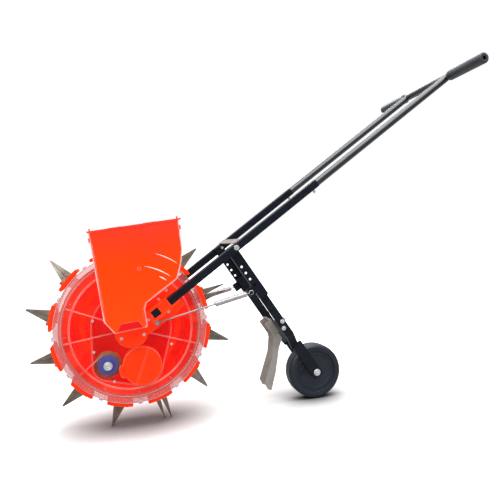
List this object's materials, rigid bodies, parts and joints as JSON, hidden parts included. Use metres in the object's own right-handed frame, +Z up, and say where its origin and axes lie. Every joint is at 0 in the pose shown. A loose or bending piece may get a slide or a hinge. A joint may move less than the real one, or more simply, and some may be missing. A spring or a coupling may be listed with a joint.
{
  "type": "push seeder",
  "caption": "Hand-pushed seeder: a clear-sided drum of duckbill dibbling beaks under a side hopper, with a long twin-tube T-handle, sprung strut and press wheel.",
  "frame": {"origin": "on the ground, at the middle of the machine's bounding box", "axes": "+X back towards the operator along the direction of travel, +Z up, hopper on the -Y side; rest pose stands on two beaks and the press wheel"},
  "size_m": [1.1829, 0.54, 0.8861],
  "materials": {
    "orange_plastic": "gloss",
    "clear_plastic": "gloss",
    "hopper_plastic": "gloss",
    "dark_red_plastic": "gloss",
    "black_paint": "gloss",
    "black_plastic": "satin",
    "grip_foam": "matte",
    "steel": "satin",
    "zinc": "bright",
    "blue_plastic": "satin",
    "bristle": "matte"
  },
  "bodies": {
    "frame": {"axle": "steel", "axle_nut": "zinc", "side_cover": "clear_plastic", "seed_chamber": "dark_red_plastic", "brush_bolt": "zinc", "near_bracket": "orange_plastic", "far_bracket": "orange_plastic", "hub_spacer": "black_paint", "frame_screws": "zinc", "hook_pins": "zinc", "hopper_front": "hopper_plastic", "hopper_back": "hopper_plastic", "hopper_window": "dark_red_plastic", "lid_pin": "zinc", "seam_clips": "orange_plastic", "lower_tubes": "black_paint", "upper_tubes": "black_paint", "crossbar": "black_paint", "grip_near": "grip_foam", "grip_far": "grip_foam", "cross_plate": "zinc", "pivot_bolts": "zinc"},
    "drum": {"drum_ring": "orange_plastic", "clear_rim": "clear_plastic", "far_disc": "orange_plastic", "far_bush": "steel", "ring_gear": "orange_plastic", "shoes": "orange_plastic", "fixed_beaks": "steel", "jaw_pins": "steel"},
    "roller": {"seed_roller": "orange_plastic", "roller_pinion": "orange_plastic"},
    "cap": {"roller_cap": "orange_plastic"},
    "brush": {"brush_hub": "blue_plastic", "brush_bristles": "bristle"},
    "lid": {"hopper_lid": "hopper_plastic"},
    "strut": {"rails": "black_paint"},
    "fork": {"wheel_fork": "black_paint", "fork_bolts": "zinc", "coverer_blades": "steel", "coverer_bracket": "steel", "wheel_bolt": "zinc"},
    "press_wheel": {"press_wheel": "black_plastic", "filler_plug": "black_plastic"},
    "rod_near": {"spring_rod_near": "zinc"},
    "rod_far": {"spring_rod_far": "zinc"},
    "sleeve_near": {"spring_sleeve_near": "zinc"},
    "sleeve_far": {"spring_sleeve_far": "zinc"},
    "jaw_01": {"beak_jaw_01": "steel"},
    "jaw_02": {"beak_jaw_02": "steel"},
    "jaw_03": {"beak_jaw_03": "steel"},
    "jaw_04": {"beak_jaw_04": "steel"},
    "jaw_05": {"beak_jaw_05": "steel"},
    "jaw_06": {"beak_jaw_06": "steel"},
    "jaw_07": {"beak_jaw_07": "steel"},
    "jaw_08": {"beak_jaw_08": "steel"},
    "jaw_09": {"beak_jaw_09": "steel"},
    "jaw_10": {"beak_jaw_10": "steel"},
    "jaw_11": {"beak_jaw_11": "steel"},
    "jaw_12": {"beak_jaw_12": "steel"}
  },
  "joints": [
    {"name": "drum_spin", "type": "hinge", "parent": "frame", "child": "drum", "pos_m": [-0.33449, 0, 0.25696], "axis": [0, -1, 0], "continuous": true},
    {"name": "jaw_hinge_01", "type": "hinge", "parent": "drum", "child": "jaw_01", "pos_m": [-0.14248, 0, 0.33638], "axis": [0, -1, 0], "range_deg": [-14, 8]},
    {"name": "jaw_hinge_02", "type": "hinge", "parent": "drum", "child": "jaw_02", "pos_m": [-0.20791, 0, 0.42174], "axis": [0, -1, 0], "range_deg": [0, 22]},
    {"name": "jaw_hinge_03", "type": "hinge", "parent": "drum", "child": "jaw_03", "pos_m": [-0.30726, 0, 0.46295], "axis": [0, -1, 0], "range_deg": [0, 22]},
    {"name": "jaw_hinge_04", "type": "hinge", "parent": "drum", "child": "jaw_04", "pos_m": [-0.4139, 0, 0.44897], "axis": [0, -1, 0], "range_deg": [0, 22]},
    {"name": "jaw_hinge_05", "type": "hinge", "parent": "drum", "child": "jaw_05", "pos_m": [-0.49927, 0, 0.38354], "axis": [0, -1, 0], "range_deg": [0, 22]},
    {"name": "jaw_hinge_06", "type": "hinge", "parent": "drum", "child": "jaw_06", "pos_m": [-0.54048, 0, 0.28419], "axis": [0, -1, 0], "range_deg": [0, 22]},
    {"name": "jaw_hinge_07", "type": "hinge", "parent": "drum", "child": "jaw_07", "pos_m": [-0.5265, 0, 0.17755], "axis": [0, -1, 0], "range_deg": [0, 22]},
    {"name": "jaw_hinge_08", "type": "hinge", "parent": "drum", "child": "jaw_08", "pos_m": [-0.46106, 0, 0.09219], "axis": [0, -1, 0], "range_deg": [0, 22]},
    {"name": "jaw_hinge_09", "type": "hinge", "parent": "drum", "child": "jaw_09", "pos_m": [-0.36172, 0, 0.05098], "axis": [0, -1, 0], "range_deg": [0, 22]},
    {"name": "jaw_hinge_10", "type": "hinge", "parent": "drum", "child": "jaw_10", "pos_m": [-0.25507, 0, 0.06496], "axis": [0, -1, 0], "range_deg": [-14, 8]},
    {"name": "jaw_hinge_11", "type": "hinge", "parent": "drum", "child": "jaw_11", "pos_m": [-0.16971, 0, 0.13039], "axis": [0, -1, 0], "range_deg": [0, 22]},
    {"name": "jaw_hinge_12", "type": "hinge", "parent": "drum", "child": "jaw_12", "pos_m": [-0.1285, 0, 0.22974], "axis": [0, -1, 0], "range_deg": [0, 22]},
    {"name": "roller_spin", "type": "hinge", "parent": "frame", "child": "roller", "pos_m": [-0.31449, -0.038, 0.15996], "axis": [0, -1, 0], "continuous": true},
    {"name": "cap_twist", "type": "hinge", "parent": "frame", "child": "cap", "pos_m": [-0.31449, -0.062, 0.15996], "axis": [0, -1, 0], "range_deg": [0, 30]},
    {"name": "brush_turn", "type": "hinge", "parent": "frame", "child": "brush", "pos_m": [-0.39899, -0.04, 0.16897], "axis": [0, -1, 0], "continuous": true},
    {"name": "lid_hinge", "type": "hinge", "parent": "frame", "child": "lid", "pos_m": [-0.31062, -0.059, 0.51579], "axis": [-0.9966, 0, -0.0819], "range_deg": [0, 100]},
    {"name": "strut_swing", "type": "hinge", "parent": "frame", "child": "strut", "pos_m": [-0.06091, 0, 0.4415], "axis": [0, -1, 0], "range_deg": [-8, 12]},
    {"name": "fork_slide", "type": "slide", "parent": "strut", "child": "fork", "axis": [0.515, 0, -0.8572], "range_m": [-0.0194, 0.0388]},
    {"name": "wheel_spin", "type": "hinge", "parent": "fork", "child": "press_wheel", "pos_m": [0.15799, 0, 0.0772], "axis": [0, -1, 0], "continuous": true},
    {"name": "rod_pivot_near", "type": "hinge", "parent": "frame", "child": "rod_near", "pos_m": [-0.27199, -0.102, 0.27097], "axis": [0, -1, 0], "range_deg": [-2, 2]},
    {"name": "sleeve_pivot_near", "type": "hinge", "parent": "strut", "child": "sleeve_near", "pos_m": [-0.02704, -0.102, 0.32301], "axis": [0, -1, 0], "range_deg": [-14, 10]},
    {"name": "rod_pivot_far", "type": "hinge", "parent": "frame", "child": "rod_far", "pos_m": [-0.27199, 0.102, 0.27097], "axis": [0, -1, 0], "range_deg": [-2, 2]},
    {"name": "sleeve_pivot_far", "type": "hinge", "parent": "strut", "child": "sleeve_far", "pos_m": [-0.02704, 0.102, 0.32301], "axis": [0, -1, 0], "range_deg": [-14, 10]}
  ],
  "couplings": [
    {"joint": "rod_pivot_near", "follows": "strut_swing", "ratio": 0.0461},
    {"joint": "sleeve_pivot_near", "follows": "strut_swing", "ratio": -0.9539},
    {"joint": "rod_pivot_far", "follows": "strut_swing", "ratio": 0.0461},
    {"joint": "sleeve_pivot_far", "follows": "strut_swing", "ratio": -0.9539},
    {"joint": "roller_spin", "follows": "drum_spin", "ratio": 5.7143}
  ]
}
